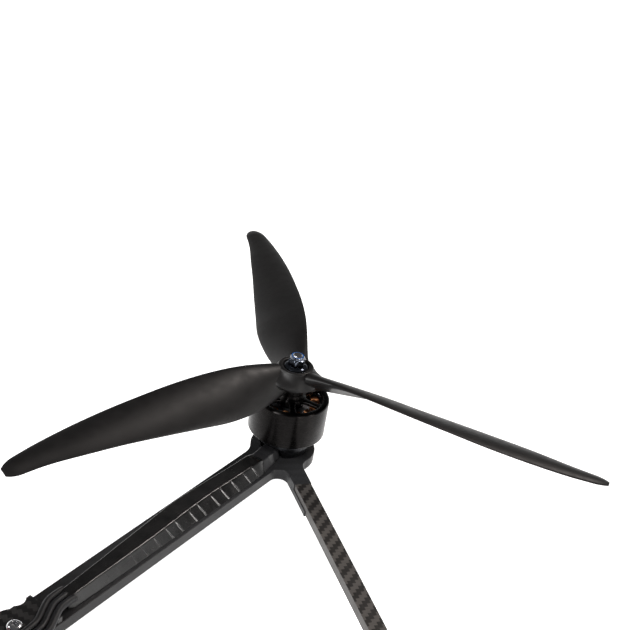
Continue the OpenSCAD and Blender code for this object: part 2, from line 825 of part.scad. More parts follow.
module propeller(c) {
  color("#141414") at_corner(c) translate([motor_x, motor_y, seat_z]) {
    difference() {
      cylinder(h = hub_h, r = hub_r);
      translate([0, 0, -1]) cylinder(h = hub_h + 2, r = shaft_r + 0.05);
      translate([0, 0, nut_seat]) cylinder(h = hub_h, r = 6.6);
    }
    for (k = [0 : blade_count - 1]) rotate(first_blade_angle + k * 360 / blade_count)
      translate([0, 0, blade_level]) blade();
  }
}

// Flanged lock nut
module prop_nut(c) {
  color("#8090a0") at_corner(c) translate([motor_x, motor_y, seat_z + nut_seat]) difference() {
    union() {
      cylinder(h = 1, r = 5.9);
      translate([0, 0, 1]) cylinder(h = 0.8, r1 = 5.9, r2 = 4.6);
      hex_prism(8, nut_h * 0.7);
      cylinder(h = nut_h, r = 3.6);
    }
    translate([0, 0, -1]) cylinder(h = nut_h + 2, r = shaft_r);
  }
}

// ---------- nodes ----------

bottom_plate();
deck_plate();
top_plate();
at_corner(FRONT_LEFT) arm();  // arm_front_left
at_corner(FRONT_RIGHT) arm();  // arm_front_right
at_corner(REAR_LEFT) arm();  // arm_rear_left
at_corner(REAR_RIGHT) arm();  // arm_rear_right
brace();  // brace_left
mirror([1, 0, 0]) brace();  // brace_right
brace_screws();
standoffs();
frame_screws();
arm_clamp_bolts();
motor_screws();
landing_feet();
speed_controller();
flight_controller();
stack_bolts();
stack_spacers();
capacitor();
video_transmitter();
radio_receiver();
gps_module();
tail_holder();
video_antenna();
power_socket();
camera_side_plates();
camera_body();
camera_lens();
camera_screws();
battery_pad();
battery();
battery_straps();
strap_buckles();
motor_wires_left();
motor_wires_right();
motor_bases();
stator_cores();
windings();
bearings();
motor_bell(FRONT_LEFT);  // motor_bell_front_left
motor_bell(FRONT_RIGHT);  // motor_bell_front_right
motor_bell(REAR_LEFT);  // motor_bell_rear_left
motor_bell(REAR_RIGHT);  // motor_bell_rear_right
magnets(FRONT_LEFT);  // magnets_front_left
magnets(FRONT_RIGHT);  // magnets_front_right
magnets(REAR_LEFT);  // magnets_rear_left
magnets(REAR_RIGHT);  // magnets_rear_right
motor_shaft(FRONT_LEFT);  // motor_shaft_front_left
motor_shaft(FRONT_RIGHT);  // motor_shaft_front_right
motor_shaft(REAR_LEFT);  // motor_shaft_rear_left
motor_shaft(REAR_RIGHT);  // motor_shaft_rear_right
propeller(FRONT_LEFT);  // propeller_front_left
propeller(FRONT_RIGHT);  // propeller_front_right
propeller(REAR_LEFT);  // propeller_rear_left
propeller(REAR_RIGHT);  // propeller_rear_right
prop_nut(FRONT_LEFT);  // prop_nut_front_left
prop_nut(FRONT_RIGHT);  // prop_nut_front_right
prop_nut(REAR_LEFT);  // prop_nut_rear_left
prop_nut(REAR_RIGHT);  // prop_nut_rear_right
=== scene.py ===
import math
from math import cos, pi, radians, sin

import bpy
from mathutils import Matrix, Vector


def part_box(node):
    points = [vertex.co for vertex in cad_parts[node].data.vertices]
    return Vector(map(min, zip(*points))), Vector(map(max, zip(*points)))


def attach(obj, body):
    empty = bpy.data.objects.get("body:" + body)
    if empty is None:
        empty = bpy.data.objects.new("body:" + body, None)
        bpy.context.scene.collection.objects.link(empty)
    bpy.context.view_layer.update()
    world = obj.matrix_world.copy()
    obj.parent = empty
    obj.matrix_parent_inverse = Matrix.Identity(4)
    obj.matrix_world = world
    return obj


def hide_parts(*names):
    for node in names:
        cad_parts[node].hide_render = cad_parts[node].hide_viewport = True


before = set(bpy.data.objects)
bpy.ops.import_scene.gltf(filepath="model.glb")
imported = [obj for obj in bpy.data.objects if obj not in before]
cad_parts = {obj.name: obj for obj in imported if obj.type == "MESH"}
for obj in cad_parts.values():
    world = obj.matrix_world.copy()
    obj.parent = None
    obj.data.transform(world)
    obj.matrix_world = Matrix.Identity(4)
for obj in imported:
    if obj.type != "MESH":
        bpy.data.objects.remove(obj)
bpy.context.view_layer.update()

MM = 0.001
CORNERS = {"front_left": (1, -1), "front_right": (-1, -1), "rear_left": (1, 1), "rear_right": (-1, 1)}

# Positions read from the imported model, at the rear left corner
BELL_LOW, BELL_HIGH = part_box("motor_bell_rear_left")
MOTOR = [(BELL_LOW[i] + BELL_HIGH[i]) / 2 / MM for i in (0, 1)]
BELL_R = (BELL_HIGH.x - BELL_LOW.x) / 2 / MM
BELL_Z = BELL_LOW.z / MM
PROP_SEAT = BELL_HIGH.z / MM
ARM_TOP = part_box("arm_rear_left")[1].z / MM
DECK_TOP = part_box("deck_plate")[1].z / MM
ARM_REACH = math.hypot(*MOTOR)
ARM_ANGLE = math.atan2(MOTOR[1], MOTOR[0])
PROP_R = 165.0


# ---------- shapes ----------

def circle(sides):
    """Equal steps of angle round a circle."""
    return [2 * pi * k / sides for k in range(sides)]


class Shape:
    """Points in millimetres and faces, gathered from simple parts."""

    def __init__(self):
        self.points = []
        self.faces = []

    def skin(self, rings, caps=(True, True), loop=False):
        """Joins equal closed rings of points, one after another."""
        start, sides = len(self.points), len(rings[0])
        for ring in rings:
            self.points.extend(tuple(p) for p in ring)
        pairs = [(i, i + 1) for i in range(len(rings) - 1)]
        if loop:
            pairs.append((len(rings) - 1, 0))
        for i, j in pairs:
            a, b = start + i * sides, start + j * sides
            for k in range(sides):
                n = (k + 1) % sides
                self.faces.append((a + k, a + n, b + n, b + k))
        if caps[0] and not loop:
            self.fan(start, sides, rings[0], True)
        if caps[1] and not loop:
            self.fan(start + (len(rings) - 1) * sides, sides, rings[-1], False)

    def fan(self, first, sides, ring, flip):
        """Closes a ring with triangles round its middle."""
        centre = len(self.points)
        self.points.append(tuple(sum(p[i] for p in ring) / sides for i in range(3)))
        for k in range(sides):
            a, b = first + k, first + (k + 1) % sides
            self.faces.append((b, a, centre) if flip else (a, b, centre))

    def turned(self, profile, at=(0, 0), level=0, sides=64, loop=False):
        """Turns a profile of (radius, height above the level) about a vertical axis.

        A radius may be a function of the angle.
        """
        rings = []
        for radius, z in profile:
            reach = radius if callable(radius) else (lambda a, r=radius: r)
            rings.append([(at[0] + reach(a) * cos(a), at[1] + reach(a) * sin(a), level + z)
                          for a in circle(sides)])
        self.skin(rings, caps=(not loop, not loop), loop=loop)

    def tube(self, path, radius, sides, loop=False):
        """A round tube along a path of points."""
        rings = []
        for i, here in enumerate(path):
            before = path[i - 1] if i or loop else path[i]
            after = path[(i + 1) % len(path)] if i + 1 < len(path) or loop else path[i]
            ahead = (Vector(after) - Vector(before)).normalized()
            side = Vector((0, 0, 1)).cross(ahead)
            side = side.normalized() if side.length > 1e-4 else Vector((1, 0, 0))
            up = ahead.cross(side)
            rings.append([Vector(here) + radius * (side * cos(a) + up * sin(a)) for a in circle(sides)])
        self.skin(rings, loop=loop)


def squared(value, power):
    """A sine or cosine pushed towards 1 or -1, which squares up a round section."""
    return math.copysign(abs(value) ** power, value)


def hexagon(across_flats):
    """Radius of a hexagon, as a function of the angle."""
    return lambda a: across_flats / 2 / cos((a % (pi / 3)) - pi / 6)


def worn_hexagon(across_flats, limit):
    """Radius of a hexagon whose corners are turned down to a limit."""
    shape = hexagon(across_flats)
    return lambda a: min(shape(a), limit)


def mix(a, b, t):
    """The value at a share t of the way from a to b."""
    return a + (b - a) * t


def smooth(values, u):
    """Catmull-Rom value of a list of numbers or vectors at u, from 0 to its last index."""
    last = len(values) - 1
    i = min(int(u), last - 1)
    t = u - i
    b, c = values[i], values[i + 1]
    a = values[i - 1] if i else 2 * b - c
    d = values[i + 2] if i + 2 <= last else 2 * c - b
    return 0.5 * (2 * b + (c - a) * t + (2 * a - 5 * b + 4 * c - d) * t * t
                  + (3 * b - a - 3 * c + d) * t * t * t)


def along_arm(s, w, z):
    """A point from its distance to the motor axis, its offset towards the brace, and its height."""
    reach = ARM_REACH - s
    return (reach * cos(ARM_ANGLE) + w * sin(ARM_ANGLE), reach * sin(ARM_ANGLE) - w * cos(ARM_ANGLE), z)


def round_motor(x, y, z, turn):
    """A point drawn with +X straight out from the motor axis, turned about that axis."""
    return (MOTOR[0] + x * cos(turn) - y * sin(turn), MOTOR[1] + x * sin(turn) + y * cos(turn), z)


def add_piece(name, shape, look, body, mirror=(1, 1), sharp=35, replaces=()):
    """Makes a piece of the object from a shape drawn at the rear left corner."""
    sx, sy = mirror
    points = [(x * MM * sx, y * MM * sy, z * MM) for x, y, z in shape.points]
    faces = [f[::-1] for f in shape.faces] if sx * sy < 0 else shape.faces
    mesh = bpy.data.meshes.new(name)
    mesh.from_pydata(points, [], faces)
    mesh.shade_smooth()
    mesh.set_sharp_from_angle(angle=radians(sharp))
    piece = bpy.data.objects.new(name, mesh)
    bpy.context.scene.collection.objects.link(piece)
    mesh.materials.append(look.material)
    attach(piece, body)
    if replaces:
        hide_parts(*replaces)


# ---------- materials ----------

class Look:
    """A material whose colour, roughness and relief come from procedural nodes."""

    def __init__(self, name, colour, roughness, **shader):
        self.material = bpy.data.materials.new(name)
        self.material.use_nodes = True
        self.tree = self.material.node_tree
        self.shader = self.tree.nodes["Principled BSDF"]
        self.shader.inputs["Base Color"].default_value = (*colour, 1)
        self.shader.inputs["Roughness"].default_value = roughness
        for socket, value in shader.items():
            self.shader.inputs[socket.replace("_", " ")].default_value = value
        self.coords = self.tree.nodes.new("ShaderNodeTexCoord").outputs["Object"]
        self.normal = None

    def node(self, kind, inputs=(), **settings):
        """A new node, with a value or a link for each named input."""
        made = self.tree.nodes.new(kind)
        for key, value in settings.items():
            setattr(made, key, value)
        for key, value in dict(inputs).items():
            if isinstance(value, bpy.types.NodeSocket):
                self.tree.links.new(value, made.inputs[key])
            else:
                made.inputs[key].default_value = value
        return made

    def math(self, operation, a, b=0.0):
        """The output of a math node."""
        return self.node("ShaderNodeMath", {0: a, 1: b}, operation=operation).outputs[0]

    def placed(self, stretch=(1, 1, 1), turn=0.0):
        """Object coordinates in millimetres, turned about Z and then stretched."""
        scale = tuple(v / MM for v in stretch)
        turned = self.node("ShaderNodeMapping", {"Vector": self.coords, "Rotation": (0, 0, -turn)})
        return self.node("ShaderNodeMapping", {"Vector": turned.outputs[0], "Scale": scale}).outputs[0]

    def axis(self, axis, turn=0.0):
        """One coordinate in millimetres."""
        return self.node("ShaderNodeSeparateXYZ", {0: self.placed(turn=turn)}).outputs[axis]

    def noise(self, size, stretch=(1, 1, 1), turn=0.0, detail=3.0):
        """Soft noise with features of a size in millimetres."""
        inputs = {"Vector": self.placed(stretch, turn), "Scale": 1 / size, "Detail": detail}
        return self.node("ShaderNodeTexNoise", inputs).outputs["Fac"]

    def cells(self, size, feature="F1"):
        """Distance within random cells of a size in millimetres."""
        inputs = {"Vector": self.placed(), "Scale": 1 / size}
        return self.node("ShaderNodeTexVoronoi", inputs, feature=feature).outputs["Distance"]

    def between(self, factor, low, high, source=(0.0, 1.0)):
        """Moves a factor from its source span to the span from low to high."""
        spans = {"From Min": source[0], "From Max": source[1], "To Min": low, "To Max": high}
        return self.node("ShaderNodeMapRange", {"Value": factor, **spans}).outputs[0]

    def colours(self, factor, stops):
        """Base colour from a factor, as a list of (position, colour)."""
        ramp = self.node("ShaderNodeValToRGB", {0: factor})
        elements = ramp.color_ramp.elements
        while len(elements) < len(stops):
            elements.new(0.5)
        for element, (position, colour) in zip(elements, stops):
            element.position = position
            element.color = (*colour, 1)
        self.tree.links.new(ramp.outputs[0], self.shader.inputs["Base Color"])
        return self

    def shaded(self, factor, dark, light):
        """Base colour between two shades."""
        return self.colours(factor, [(0.3, dark), (0.7, light)])

    def rough(self, factor, low, high):
        """Roughness between two values."""
        self.tree.links.new(self.between(factor, low, high, (0.3, 0.7)), self.shader.inputs["Roughness"])
        return self

    def relief(self, height, depth):
        """Adds relief of a depth in millimetres."""
        inputs = {"Height": height, "Distance": depth * MM}
        if self.normal:
            inputs["Normal"] = self.normal
        self.normal = self.node("ShaderNodeBump", inputs).outputs[0]
        self.tree.links.new(self.normal, self.shader.inputs["Normal"])
        return self


def moulded(name, colour, roughness, grain=0.5, depth=0.015, **shader):
    """Moulded plastic, rubber or paint: fine grain, and soft changes of shade and gloss."""
    look = Look(name, colour, roughness, **shader)
    dark, light = (tuple(v * k for v in colour) for k in (0.82, 1.2))
    look.shaded(look.noise(9), dark, light)
    look.rough(look.noise(5), roughness * 0.88, min(1, roughness * 1.12))
    return look.relief(look.noise(grain, detail=4), depth)


def metal(name, colour, roughness, stretch=(1, 1, 1), grain=0.4, depth=0.004, **shader):
    """Metal with fine machining marks."""
    look = Look(name, colour, roughness, Metallic=1.0, **shader)
    marks = look.noise(grain, stretch, detail=4)
    dark, light = (tuple(v * k for v in colour) for k in (0.86, 1.1))
    look.shaded(look.noise(3), dark, light)
    look.rough(marks, roughness * 0.75, roughness * 1.3)
    return look.relief(marks, depth)


def woven(name, dark, light, tow, turn=0.0, roughness=0.34, contrast=1.0, depth=0.05, coat=0.15, gloss=0.2):
    """Twill carbon laminate: tows cross two over, two under, and cut edges show the layers."""
    look = Look(name, dark, roughness, Coat_Weight=coat, Coat_Roughness=0.18, Specular_IOR_Level=gloss)
    u = look.math("DIVIDE", look.axis(0, turn), tow)
    v = look.math("DIVIDE", look.axis(1, turn), tow)
    step = look.math("ADD", look.math("FLOOR", u), look.math("FLOOR", v))
    over = look.math("LESS_THAN", look.math("FLOORED_MODULO", step, 4.0), 2.0)
    round_u = look.math("ABSOLUTE", look.math("SINE", look.math("MULTIPLY", u, pi)))
    round_v = look.math("ABSOLUTE", look.math("SINE", look.math("MULTIPLY", v, pi)))
    tows = look.node("ShaderNodeMix", {0: over, 2: round_v, 3: round_u}).outputs[0]
    fibres = look.node("ShaderNodeMix", {0: over, 2: look.noise(0.5, (0.1, 1, 1), turn),
                                         3: look.noise(0.5, (1, 0.1, 1), turn)}).outputs[0]
    normal = look.node("ShaderNodeNewGeometry").outputs["Normal"]
    up = look.node("ShaderNodeSeparateXYZ", {0: normal}).outputs[2]
    face = look.math("GREATER_THAN", look.math("ABSOLUTE", up), 0.7)
    tone = look.math("MULTIPLY", look.between(over, 0.5 - 0.32 * contrast, 0.5 + 0.32 * contrast),
                     look.between(fibres, 0.8, 1.2, (0.3, 0.7)))
    layers = look.noise(0.28, (0.02, 0.02, 1), detail=2)
    tone = look.node("ShaderNodeMix", {0: face, 2: layers, 3: tone}).outputs[0]
    look.colours(tone, [(0.15, dark), (0.85, light)])
    look.rough(look.noise(7), roughness * 0.85, roughness * 1.2)
    look.relief(look.math("MULTIPLY", tows, face), depth)
    return look.relief(look.math("MULTIPLY", fibres, face), 0.012)


WELD_GAP = 0.002
BEVELLED_ANGLE = radians(38)


def for_node(name, look, bevel):
    """Gives a carried CAD node its material, and softens its edges by a bevel's width."""
    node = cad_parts[name]
    node.data.materials.clear()
    node.data.materials.append(look.material)
    if bevel:
        weld = node.modifiers.new("join split edges", "WELD")
        weld.merge_threshold = WELD_GAP * MM
        edge = node.modifiers.new("softened edges", "BEVEL")
        edge.width = bevel * MM
        edge.segments = 2
        edge.limit_method = "ANGLE"
        edge.angle_limit = BEVELLED_ANGLE
        edge.use_clamp_overlap = True
        edge.harden_normals = True


# ---------- propeller ----------

# Directions and angles are degrees, and the blade's other values are shares of the propeller's radius
BLADE_DIRECTIONS = [80.4, 200.4, 320.4]
BLADE_ROOT = 0.05
BLADE_TIP = 0.9995
TIP_ROUNDING = 0.045
# Evenly spaced from root to tip
BLADE_CHORD = [0.100, 0.149, 0.171, 0.164, 0.149, 0.131, 0.110, 0.082, 0.056]
BLADE_LEAD = [0.010, 0.002, 0.000, 0.006, 0.010, 0.013, 0.012, 0.008, -0.006]
BLADE_TWIST = [46, 38, 30, 25.5, 21, 16.5, 13, 11, 12]
BLADE_CAMBER = 0.067
BLADE_DROP = 0.018
BLADE_SLOPE = 0.012
BLADE_BOW = 0.066
# Half thickness of the outer blade, and what the root adds: gain, where it is reached, how fast it fades
BLADE_THIN = 0.0052
ROOT_GAINS = [(0.0125, 0.08, 0.17), (0.006, 0.05, 0.03)]
# The hub and its swellings at the blades: radii and heights above its seat in millimetres, and degrees
BLADE_LEVEL = 5
NUT_SEAT = 8
HUB_SIDE_TOP = 8.4
HUB_FOOT_R = 12.9
HUB_TAPER = 3.7
SWELL_Z = 4.4
SWELL_HALF_H = 4
SWELL_REACH = 4.6
SWELL_SLANT = 26
SWELL_SPREAD = 27


def blade_ring(s, sides):
    """Section of a blade pointing along +X, at a share s of its radius, leading edge towards -Y."""
    u = (s - BLADE_ROOT) / (1 - BLADE_ROOT) * (len(BLADE_CHORD) - 1)
    near_tip = max(0, (s - (1 - TIP_ROUNDING)) / TIP_ROUNDING)
    chord = smooth(BLADE_CHORD, u) * math.sqrt(1 - 0.75 * near_tip ** 2)
    lead, beta = smooth(BLADE_LEAD, u), radians(smooth(BLADE_TWIST, u))
    half_t = BLADE_THIN + sum(gain * math.exp(-(s - start) / fade) for gain, start, fade in ROOT_GAINS)
    half_t *= 1 - 0.6 * near_tip ** 2
    rise = -BLADE_DROP - BLADE_SLOPE * s + BLADE_BOW * s * (1 - s)
    ring = []
    for a in circle(sides):
        t = (1 - cos(a)) / 2
        fullness = 1.12 - 0.3 * t
        x = (0.5 - t) * chord
        y = 4 * BLADE_CAMBER * chord * t * (1 - t) + half_t * sin(a) * fullness
        ring.append((PROP_R * s, -PROP_R * (lead + x * cos(beta) - y * sin(beta)),
                     PROP_R * (rise + x * sin(beta) + y * cos(beta))))
    return ring


def hub_radius(z):
    """Outline of the hub at a height above its seat: a flared skirt that swells into each slanting blade."""
    level = (z - SWELL_Z) / SWELL_HALF_H
    skirt = HUB_FOOT_R - HUB_TAPER * (z / HUB_SIDE_TOP) ** 1.25
    swell = SWELL_REACH * max(0, 1 - level * level) ** 1.5

    def radius(a):
        share = 0
        for direction in BLADE_DIRECTIONS:
            middle = radians(direction - SWELL_SLANT * level)
            off = (a - middle + pi) % (2 * pi) - pi
            share += math.exp(-(off / radians(SWELL_SPREAD)) ** 2)
        return skirt + swell * share

    return radius


def propeller_shape():
    """Three twisted blades, and the hub with the recess that the nut sits in."""
    shape = Shape()
    stations, sides = 90, 40
    for direction in BLADE_DIRECTIONS:
        rings = []
        for i in range(stations + 1):
            s = mix(BLADE_ROOT, BLADE_TIP, 1 - (1 - i / stations) ** 1.25)
            rings.append([round_motor(x, y, PROP_SEAT + BLADE_LEVEL + z, radians(direction))
                          for x, y, z in blade_ring(s, sides)])
        shape.skin(rings)
    hub = [(2.6, 0), (11.6, 0), (12.4, 0.2)]
    side_levels = (0.6, 1.1, 1.7, 2.4, 3.1, 3.8, 4.5, 5.2, 5.9, 6.6, 7.3, 8, HUB_SIDE_TOP)
    hub += [(hub_radius(z), z) for z in side_levels]
    hub += [(9.05, 8.8), (8.75, 9.1), (8.3, 9.2), (7.6, 9.2), (7.1, 9.1), (6.8, 8.8), (6.65, 8.3),
            (6.6, NUT_SEAT), (2.6, NUT_SEAT)]
    shape.turned(hub, at=MOTOR, level=PROP_SEAT, sides=144, loop=True)
    return shape


# ---------- motor ----------

SHELL_DRAWN_R = 20
SPOKE_DIRECTIONS = range(15, 375, 60)
SPOKE_SPAN = (6.8, 17.2)
SPOKE_Z = 19.25
SPOKE_HALF_W = 1.6
SPOKE_HALF_H = 1.0


def spoke_rings(turn):
    """Sections of a rounded bar from the bell's boss to its rim, wider at both ends."""
    rings = []
    steps = 16
    for i in range(steps + 1):
        t = i / steps
        flare = abs(2 * t - 1) ** 4
        half_w, half_h = SPOKE_HALF_W + 1.1 * flare, SPOKE_HALF_H + 0.15 * flare
        rings.append([round_motor(mix(*SPOKE_SPAN, t), half_w * squared(cos(a), 0.5),
                                  BELL_Z + (SPOKE_Z + half_h * squared(sin(a), 0.5)), turn)
                      for a in circle(20)])
    return rings


def bell_shape():
    """Turned shell with rounded rims, spoked top, and the boss that carries the propeller."""
    shape = Shape()
    shell = [(19, 0.2), (19.2, 0), (19.6, 0.05), (19.9, 0.3), (20, 0.8), (20, 19.5), (19.88, 19.95),
             (19.6, 20.3), (19.2, 20.5), (17.4, 20.5), (17, 20.38), (16.65, 20.1), (16.5, 19.7),
             (16.4, 18.4), (16.7, 18.2), (19, 18)]
    shape.turned([(r * BELL_R / SHELL_DRAWN_R, z) for r, z in shell], at=MOTOR, level=BELL_Z, sides=160,
                 loop=True)
    seat = PROP_SEAT - BELL_Z
    boss = [(2.5, 17), (7.2, 17), (7.6, 17.5), (7.8, 18.2), (7.8, 20.1), (7.5, 20.5), (6.6, 21), (6.2, 21.7),
            (6, 23), (6, seat - 0.5), (5.7, seat), (2.5, seat)]
    shape.turned(boss, at=MOTOR, level=BELL_Z, sides=72, loop=True)
    for direction in SPOKE_DIRECTIONS:
        shape.skin(spoke_rings(radians(direction)))
    return shape


def nut_shape():
    """Flanged lock nut: round flange, chamfered hexagon and rolled collar."""
    shape = Shape()
    flats = 8
    flange = [(2.55, 0), (5.6, 0), (5.82, 0.15), (5.9, 0.45), (5.86, 0.8), (5.6, 1.05), (5.1, 1.3)]
    hexagonal = [(worn_hexagon(flats, 4.62), 1.7), (hexagon(flats), 4.9), (worn_hexagon(flats, 4.42), 5.2),
                 (worn_hexagon(flats, 4.1), 5.45)]
    collar = [(3.75, 5.6), (3.6, 5.9), (3.58, 6.5), (3.45, 6.85), (3.38, 7.02), (3.26, 7.04), (3.2, 6.9),
              (3.18, 6), (2.55, 6)]
    shape.turned(flange + hexagonal + collar, at=MOTOR, level=PROP_SEAT + NUT_SEAT, sides=96, loop=True)
    return shape


def nut_insert_shape():
    """Nylon ring held in the nut's collar."""
    shape = Shape()
    profile = [(2.56, 5.8), (3.17, 5.8), (3.17, 6.8), (3.05, 6.98), (2.7, 6.98), (2.56, 6.8)]
    shape.turned(profile, at=MOTOR, level=PROP_SEAT + NUT_SEAT, sides=64, loop=True)
    return shape


CORE_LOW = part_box("stator_cores")[0].z / MM
CORE_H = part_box("stator_cores")[1].z / MM - CORE_LOW
TEETH = 12
COIL_TURNS = 7
COIL_SPAN = (11.2, 15.2)
COIL_PROUD = 1.1
COIL_WIRE_R = 0.42


def windings_shape():
    """Twelve coils, each of wire turns laid side by side round its tooth."""
    shape = Shape()
    middle_z, half_h = CORE_LOW + CORE_H / 2, CORE_H / 2 + COIL_PROUD
    for tooth in circle(TEETH):
        for turn in range(COIL_TURNS):
            r = mix(*COIL_SPAN, turn / (COIL_TURNS - 1))
            half_w = 1.63 + 0.2 * (r - 10)
            section = [(half_w * squared(cos(a), 0.45), half_h * squared(sin(a), 0.3)) for a in circle(24)]
            path = [round_motor(r, y, middle_z + z, tooth) for y, z in section]
            shape.tube(path, COIL_WIRE_R, sides=6, loop=True)
    return shape


# ---------- motor wires ----------

# Distances along an arm are from the motor axis, and the near side of an arm faces the brace
SLEEVE_START = 10
WRAP_START = 25
WRAP_END = 168
# The tape's advance in one turn, its slant from top to foot, and the rounding of its two ends
WRAP_TURN = 8.6
WRAP_SKEW = 3.2
WRAP_CLOSE = 5
# The raised lip of each turn: its share of the turn, its height, and the length over which lips fade out
LIP_SHARE = 0.1
LIP_HEIGHT = 0.42
LIP_FADE = 60
# How deep behind the near face the section still moves with a lip
LIP_DEPTH = 0.9
# Edges of the taped bundle, evenly spaced from the wrap's start to its end
NEAR_FOOT = [8.6, 8.8, 8.7, 8.6, 8.6, 8.3, 8.1, 7.9]
NEAR_SHOULDER = [4.8, 4.4, 3.7, 4.0, 4.9, 5.3, 5.5, 5.9]
FAR_SHOULDER = [-2.8, -3.5, -4.6, -5.1, -3.9, -2.6, -1.3, -0.2]
FAR_LEAN = 0.9
WRAP_TOP = 27.15
WRAP_FOOT = ARM_TOP + 0.05
STRAND_D = 3.3
STRAND_GAP = 0.2
# Middle strand: distance from the motor, offset towards the brace, height
STRAND_ROUTE = [(164, 2.6, 25.2), (168, 2.6, 25.6), (174, 3.4, 26), (180, 6, 26), (186, 8.9, 26),
                (192, 9.7, 26), (204, 9.8, 26), (216, 9.9, 26), (228, 9.8, 26), (242, 9.9, 26),
                (254, 10, 26)]
# The rest of each strand, up to its pad on the speed controller
STRAND_ENDS = [[(261, 5.9, 26.4), (266, 3.6, 28), (269.3, 1.4, 28.8)],
               [(262, 9.2, 26.4), (267, 7.2, 28), (271.9, 5.1, 28.8)],
               [(263, 12.6, 26.4), (269, 10.9, 28), (274.6, 8.8, 28.8)]]


def corner_curve(corners, i, steps):
    """Points round corner i of a closed outline, whose corners are (x, y, rounding)."""
    x, y, r = corners[i]
    here = Vector((x, y))
    before = Vector(corners[i - 1][:2])
    after = Vector(corners[(i + 1) % len(corners)][:2])
    start = here + (before - here).normalized() * r
    end = here + (after - here).normalized() * r
    shares = [k / (steps - 1) for k in range(steps)]
    return [start * (1 - t) ** 2 + here * 2 * t * (1 - t) + end * t * t for t in shares]


def rounded(corners, steps=5, spread=9):
    """Closed outline with rounded corners, and each straight side cut into equal lengths."""
    curves = [corner_curve(corners, i, steps) for i in range(len(corners))]
    outline = []
    for curve, following in zip(curves, curves[1:] + curves[:1]):
        outline += curve
        outline += [curve[-1].lerp(following[0], k / spread) for k in range(1, spread)]
    return outline


def bundle_ring(s, near_foot, near_top, far_top, top, raise_near=lambda up: 0):
    """Section of the wire bundle: flat top, crisp shoulders, and a near side that leans out over the arm.

    raise_near gives how far the near side stands proud, from the share of its height.
    """
    corners = [(near_foot, WRAP_FOOT, 0.3), (near_top, top, 0.5), (far_top, top, 0.7),
               (far_top - FAR_LEAN, WRAP_FOOT, 0.3)]
    lean = Vector((top - WRAP_FOOT, near_foot - near_top)).normalized()
    ring = []
    for point in rounded(corners):
        up = (point.y - WRAP_FOOT) / (top - WRAP_FOOT)
        near_side = max(0, min(1, 1 - (mix(near_foot, near_top, up) - point.x) / LIP_DEPTH))
        push = raise_near(up) * near_side if up > 0 else 0
        ring.append(along_arm(s, point.x + lean.x * push, point.y + lean.y * push))
    return ring


def tape_shape():
    """Tape wound slantwise round the bundle: each turn ends in a narrow raised lip on the near side."""
    shape = Shape()
    ring_spacing = 0.14
    count = round((WRAP_END - WRAP_START) / ring_spacing)
    rings = []
    for i in range(count + 1):
        s = mix(WRAP_START, WRAP_END, i / count)
        u = (s - WRAP_START) / (WRAP_END - WRAP_START) * (len(NEAR_FOOT) - 1)

        def raise_near(up, s=s):
            along = s + WRAP_SKEW * (1 - up)
            turn, share = divmod((along - WRAP_START) / WRAP_TURN + 0.12 * sin(along * 0.31), 1)
            height = LIP_HEIGHT + 0.1 * sin(turn * 2.4)
            height *= min(1, (WRAP_END - s) / LIP_FADE) * min(1, 2 * (1.02 - up))
            lip = height * sin(pi * share / LIP_SHARE) ** 2 if share < LIP_SHARE else 0
            return lip - 0.1 * sin(pi * share)

        close = max(0, 1 - min(s - WRAP_START, WRAP_END - s) / WRAP_CLOSE) ** 2
        near_foot = smooth(NEAR_FOOT, u) - 1.4 * close
        near_top = smooth(NEAR_SHOULDER, u) - 0.3 * close
        far_top = smooth(FAR_SHOULDER, u) + 0.5 * close
        rings.append(bundle_ring(s, near_foot, near_top, far_top, WRAP_TOP - 0.9 * close, raise_near))
    shape.skin(rings)
    return shape


SLEEVE_TOP = 25.8
SLEEVE_OVERLAP = 3
BEAD_AT = 17
BEAD_HALF_L = 3


def sleeve_shape():
    """Smooth sleeve on the three motor leads, between the motor base and the tape, with one soft bead."""
    shape = Shape()
    rings = []
    steps = 24
    for i in range(steps + 1):
        t = i / steps
        s = mix(SLEEVE_START, WRAP_START + SLEEVE_OVERLAP, t)
        bead = 0.5 * max(0, 1 - abs(s - BEAD_AT) / BEAD_HALF_L)
        rings.append(bundle_ring(s, mix(5.2, 8.2, t) + bead, mix(4.2, 4.5, t) + bead, mix(-3.6, -2.5, t),
                                 SLEEVE_TOP + bead))
    shape.skin(rings)
    return shape


def strand_shape(k):
    """One silicone lead from the end of the tape to the speed controller."""
    shape = Shape()
    route = [(s, w + (k - 1) * (STRAND_D + STRAND_GAP), z) for s, w, z in STRAND_ROUTE] + STRAND_ENDS[k]
    points = [Vector(along_arm(*p)) for p in route]
    steps = 6 * (len(points) - 1)
    path = [smooth(points, (len(points) - 1) * i / steps) for i in range(steps + 1)]
    shape.tube(path, STRAND_D / 2, sides=20)
    return shape


# ---------- battery and straps ----------

BATTERY_LOW, BATTERY_HIGH = (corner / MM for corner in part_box("battery"))
TOP_PLATE_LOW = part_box("top_plate")[0].z / MM
CELLS = 6
SEAM_DEPTH = 0.28
STRAP_HALF_W = 8.98
STRAP_HALF_T = 0.56
STRAP_SLOT_X = 20
# How the sleeve folds in at an end: distance from the end, inset
SLEEVE_FOLD = [(0, 6), (0.15, 3.5), (0.5, 1.6), (1.2, 0.6), (2.2, 0.15), (3.6, 0)]


